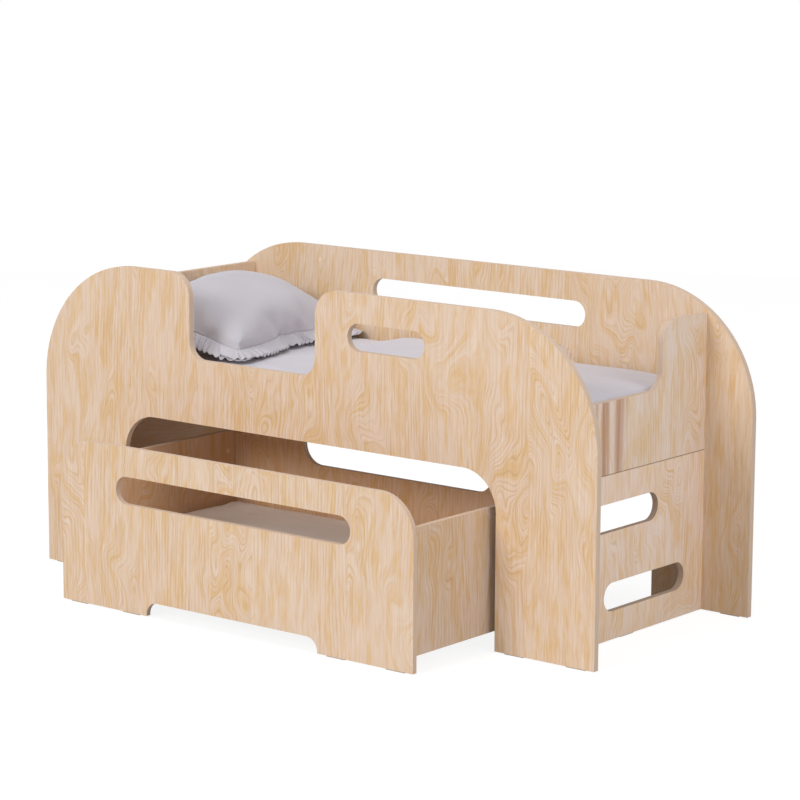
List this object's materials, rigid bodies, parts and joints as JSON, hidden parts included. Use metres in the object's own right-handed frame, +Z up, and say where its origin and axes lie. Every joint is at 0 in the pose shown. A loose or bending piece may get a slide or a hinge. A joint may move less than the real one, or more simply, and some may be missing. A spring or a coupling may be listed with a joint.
{
  "type": "kids bed with trundle",
  "caption": "Low plywood child's bed with arched side boards, a step opening at the foot, a slatted base with mattress and pillow, and a pull-out trundle bed below.",
  "frame": {"origin": "on the floor, under the middle of the whole object's box with the trundle pulled out as pictured", "axes": "+X along the bed from the pillow end to the step end, +Y to the back, +Z up"},
  "size_m": [1.96, 1.056, 0.9],
  "materials": {
    "plywood": "clear matt lacquer on pine-faced plywood",
    "pine": "planed solid pine",
    "sheet_fabric": "lilac-grey washed cotton",
    "trundle_fabric": "pale pinkish-grey cotton",
    "webbing": "woven polyester tape",
    "felt": "pressed wool felt",
    "zinc_fittings": "zinc-plated",
    "birch_dowel": "raw turned hardwood"
  },
  "bodies": {
    "bed": {"bed_cam_bolts": "zinc_fittings", "bed_cam_locks": "zinc_fittings", "bed_glides": "felt", "bed_mattress": "sheet_fabric", "bed_slat_01": "pine", "bed_slat_02": "pine", "bed_slat_03": "pine", "bed_slat_04": "pine", "bed_slat_05": "pine", "bed_slat_06": "pine", "bed_slat_07": "pine", "bed_slat_08": "pine", "bed_slat_09": "pine", "bed_slat_10": "pine", "bed_slat_11": "pine", "bed_slat_12": "pine", "bed_slat_screws": "zinc_fittings", "foot_panel": "plywood", "foot_rail": "pine", "front_panel": "plywood", "front_rail": "pine", "head_lower_panel": "plywood", "head_panel": "plywood", "head_rail": "pine", "ladder_panel": "plywood", "pillow": "sheet_fabric", "pillow_frill": "sheet_fabric", "rail_screws": "zinc_fittings", "rear_panel": "plywood", "rear_plugs": "birch_dowel", "rear_rail": "pine", "seam_dowels": "birch_dowel", "slat_straps": "webbing"},
    "trundle": {"trundle_back": "plywood", "trundle_back_rail": "pine", "trundle_cam_bolts": "zinc_fittings", "trundle_cam_locks": "zinc_fittings", "trundle_front": "plywood", "trundle_front_rail": "pine", "trundle_glides": "felt", "trundle_left_side": "plywood", "trundle_mattress": "trundle_fabric", "trundle_rail_screws": "zinc_fittings", "trundle_right_side": "plywood", "trundle_slat_01": "pine", "trundle_slat_02": "pine", "trundle_slat_03": "pine", "trundle_slat_04": "pine", "trundle_slat_05": "pine", "trundle_slat_06": "pine", "trundle_slat_07": "pine", "trundle_slat_08": "pine", "trundle_slat_09": "pine", "trundle_slat_screws": "zinc_fittings"}
  },
  "joints": [
    {"name": "trundle_slide", "type": "slide", "parent": "bed", "child": "trundle", "axis": [0, -1, 0], "range_m": [-0.312, 0.36]}
  ]
}
